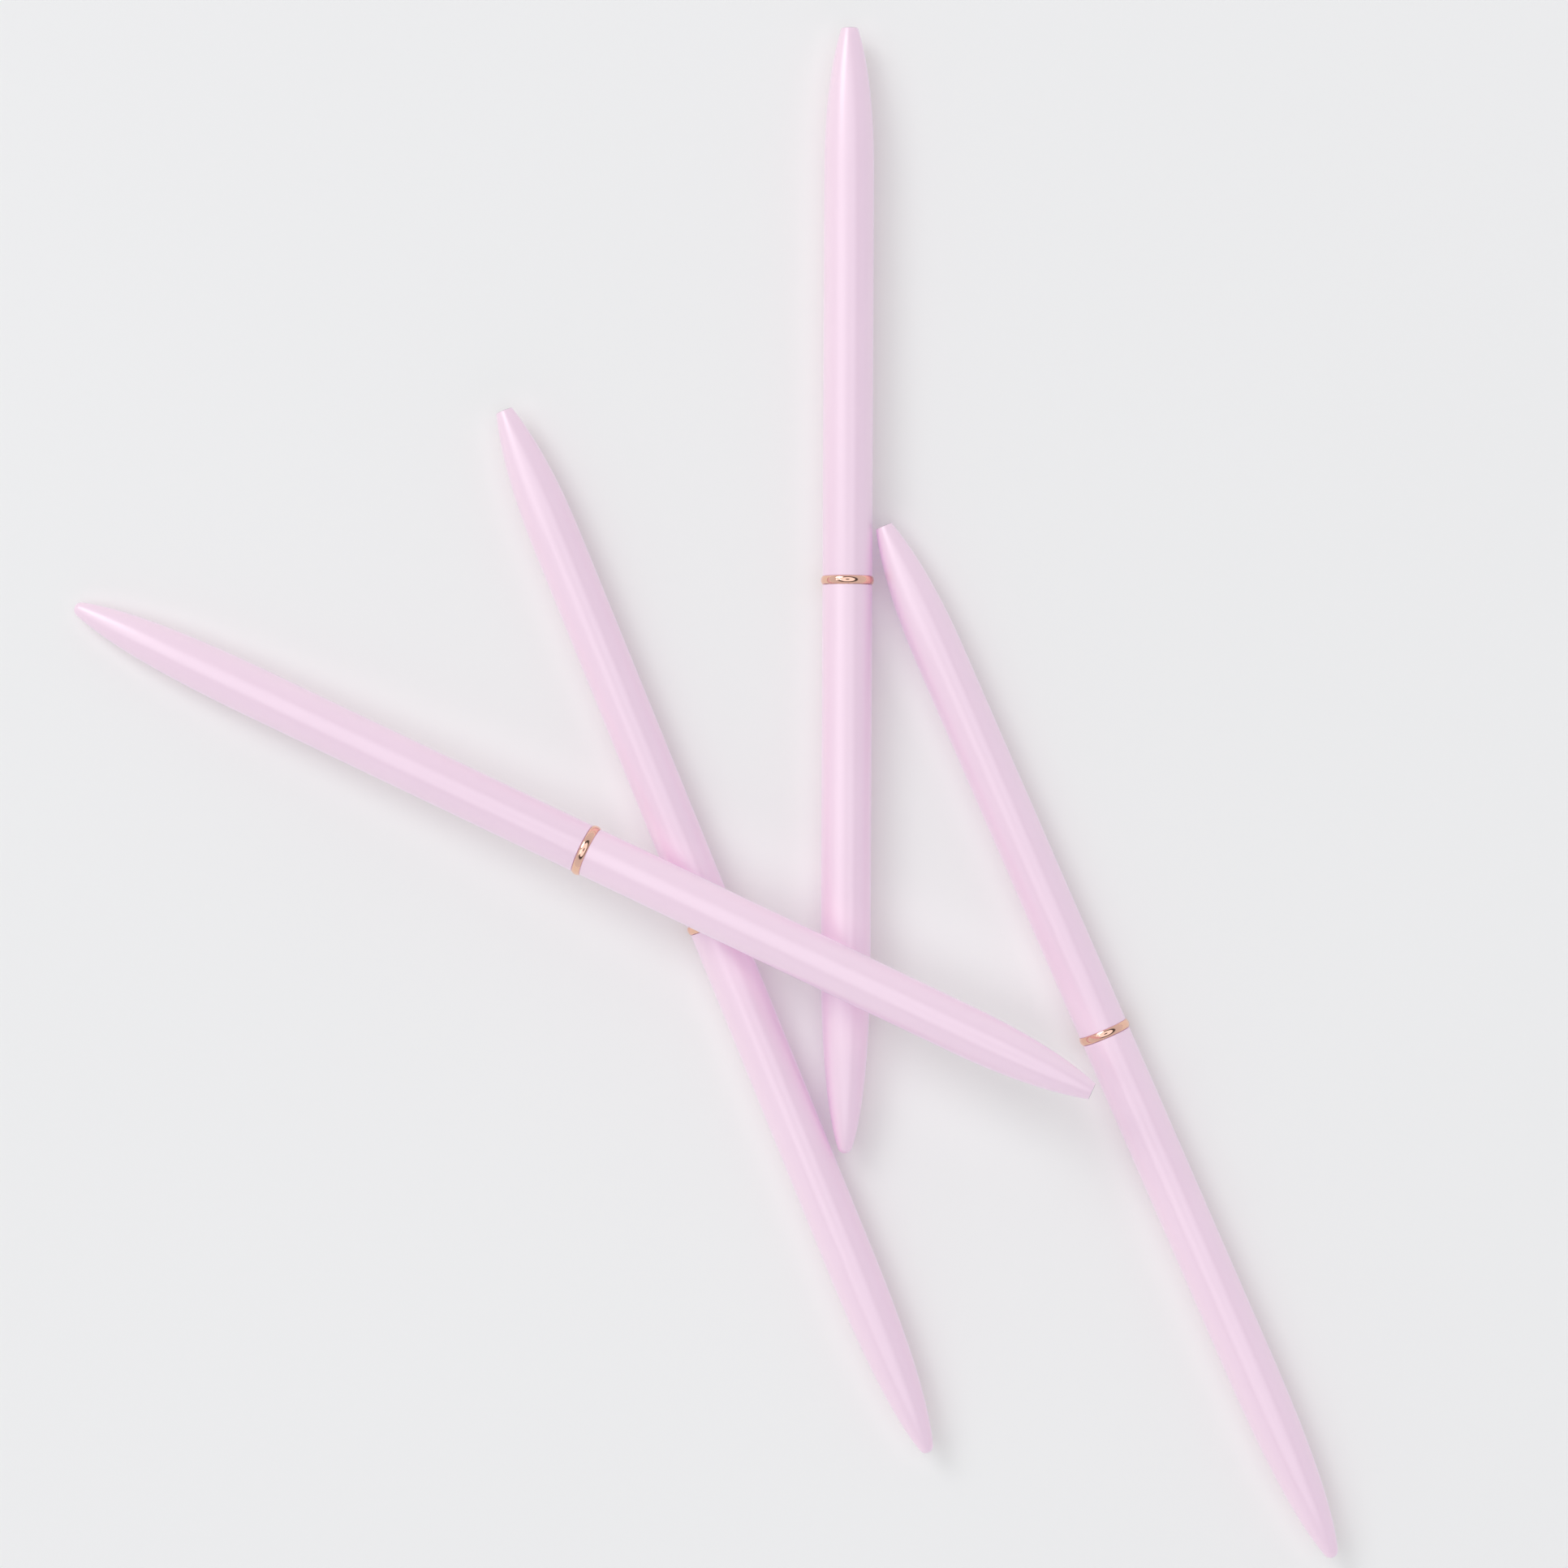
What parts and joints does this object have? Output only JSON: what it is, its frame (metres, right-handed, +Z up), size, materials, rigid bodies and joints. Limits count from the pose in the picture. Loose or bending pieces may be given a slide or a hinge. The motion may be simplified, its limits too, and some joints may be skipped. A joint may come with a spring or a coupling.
{
  "type": "slim twist ballpoint pens",
  "caption": "Slim twist-action ballpoint pens in pale pink-lilac lacquer with a thin rose-gold centre ring, lying loosely crossed on a table.",
  "frame": {"origin": "centre of the pens' footprint, on the table they lie on", "axes": "+Z up from the table; +Y along the length of the lengthwise pen, towards its nose; +X to the right of that"},
  "size_m": [0.1576, 0.1904, 0.0163],
  "materials": {
    "lacquer": "satin pearl lacquer, pale pink-lilac",
    "rose_gold": "polished rose-gold plate",
    "brass": "turned, lightly oiled",
    "spring_steel": "ground",
    "refill_steel": "drawn tube",
    "nickel_tip": "nickel silver, turned bright",
    "carbide_ball": "polished",
    "rubber": "matt",
    "white_plastic": "moulded, satin",
    "black_plastic": "moulded, satin"
  },
  "bodies": {
    "pen_1_front": {"pen_1_front_barrel": "lacquer", "pen_1_centre_ring": "rose_gold", "pen_1_thread_bush": "brass", "pen_1_guide_tube": "brass", "pen_1_retaining_ring": "spring_steel", "pen_1_friction_ring": "rubber"},
    "pen_1_rear": {"pen_1_rear_barrel": "lacquer", "pen_1_cam_sleeve": "brass"},
    "pen_1_refill": {"pen_1_refill_carrier": "white_plastic", "pen_1_follower_pin": "spring_steel", "pen_1_refill_tube": "refill_steel", "pen_1_refill_tip": "nickel_tip", "pen_1_tip_ball": "carbide_ball", "pen_1_refill_plug": "black_plastic"},
    "pen_2_front": {"pen_2_front_barrel": "lacquer", "pen_2_centre_ring": "rose_gold", "pen_2_thread_bush": "brass", "pen_2_guide_tube": "brass", "pen_2_retaining_ring": "spring_steel", "pen_2_friction_ring": "rubber"},
    "pen_2_rear": {"pen_2_rear_barrel": "lacquer", "pen_2_cam_sleeve": "brass"},
    "pen_2_refill": {"pen_2_refill_carrier": "white_plastic", "pen_2_follower_pin": "spring_steel", "pen_2_refill_tube": "refill_steel", "pen_2_refill_tip": "nickel_tip", "pen_2_tip_ball": "carbide_ball", "pen_2_refill_plug": "black_plastic"},
    "pen_3_front": {"pen_3_front_barrel": "lacquer", "pen_3_centre_ring": "rose_gold", "pen_3_thread_bush": "brass", "pen_3_guide_tube": "brass", "pen_3_retaining_ring": "spring_steel", "pen_3_friction_ring": "rubber"},
    "pen_3_rear": {"pen_3_rear_barrel": "lacquer", "pen_3_cam_sleeve": "brass"},
    "pen_3_refill": {"pen_3_refill_carrier": "white_plastic", "pen_3_follower_pin": "spring_steel", "pen_3_refill_tube": "refill_steel", "pen_3_refill_tip": "nickel_tip", "pen_3_tip_ball": "carbide_ball", "pen_3_refill_plug": "black_plastic"},
    "pen_4_front": {"pen_4_front_barrel": "lacquer", "pen_4_centre_ring": "rose_gold", "pen_4_thread_bush": "brass", "pen_4_guide_tube": "brass", "pen_4_retaining_ring": "spring_steel", "pen_4_friction_ring": "rubber"},
    "pen_4_rear": {"pen_4_rear_barrel": "lacquer", "pen_4_cam_sleeve": "brass"},
    "pen_4_refill": {"pen_4_refill_carrier": "white_plastic", "pen_4_follower_pin": "spring_steel", "pen_4_refill_tube": "refill_steel", "pen_4_refill_tip": "nickel_tip", "pen_4_tip_ball": "carbide_ball", "pen_4_refill_plug": "black_plastic"}
  },
  "joints": [
    {"name": "pen_1_lift", "type": "slide", "parent": "pen_2_front", "child": "pen_1_front", "axis": [0, 0, 1], "range_m": [0, 0.03]},
    {"name": "pen_4_lift", "type": "slide", "parent": "pen_2_front", "child": "pen_4_front", "axis": [0, 0, 1], "range_m": [0, 0.03]},
    {"name": "pen_3_draw_out", "type": "slide", "parent": "pen_2_front", "child": "pen_3_front", "axis": [0.0044, 1, 0], "range_m": [0, 0.04]},
    {"name": "pen_1_twist", "type": "hinge", "parent": "pen_1_front", "child": "pen_1_rear", "pos_m": [-0.01495, -0.00684, 0.00808], "axis": [0.9003, -0.4254, 0.0919], "range_deg": [0, 180]},
    {"name": "pen_1_refill_slide", "type": "slide", "parent": "pen_1_front", "child": "pen_1_refill", "axis": [0.9003, -0.4254, 0.0919], "range_m": [0, 0.0035]},
    {"name": "pen_2_twist", "type": "hinge", "parent": "pen_2_front", "child": "pen_2_rear", "pos_m": [0.00112, -0.01651, 0.0033], "axis": [-0.3772, 0.9261, 0], "range_deg": [0, 180]},
    {"name": "pen_2_refill_slide", "type": "slide", "parent": "pen_2_front", "child": "pen_2_refill", "axis": [-0.3772, 0.9261, 0], "range_m": [0, 0.0035]},
    {"name": "pen_3_twist", "type": "hinge", "parent": "pen_3_front", "child": "pen_3_rear", "pos_m": [0.01774, 0.02597, 0.0033], "axis": [0.0044, 1, 0], "range_deg": [0, 180]},
    {"name": "pen_3_refill_slide", "type": "slide", "parent": "pen_3_front", "child": "pen_3_refill", "axis": [0.0044, 1, 0], "range_m": [0, 0.0035]},
    {"name": "pen_4_twist", "type": "hinge", "parent": "pen_4_front", "child": "pen_4_rear", "pos_m": [0.04993, -0.0302, 0.0033], "axis": [-0.3997, 0.9166, 0], "range_deg": [0, 180]},
    {"name": "pen_4_refill_slide", "type": "slide", "parent": "pen_4_front", "child": "pen_4_refill", "axis": [-0.3997, 0.9166, 0], "range_m": [0, 0.0035]}
  ],
  "couplings": [
    {"joint": "pen_1_twist", "follows": "pen_1_refill_slide", "rad_per_m": 897.6},
    {"joint": "pen_2_twist", "follows": "pen_2_refill_slide", "rad_per_m": 897.6},
    {"joint": "pen_3_twist", "follows": "pen_3_refill_slide", "rad_per_m": 897.6},
    {"joint": "pen_4_twist", "follows": "pen_4_refill_slide", "rad_per_m": 897.6}
  ]
}
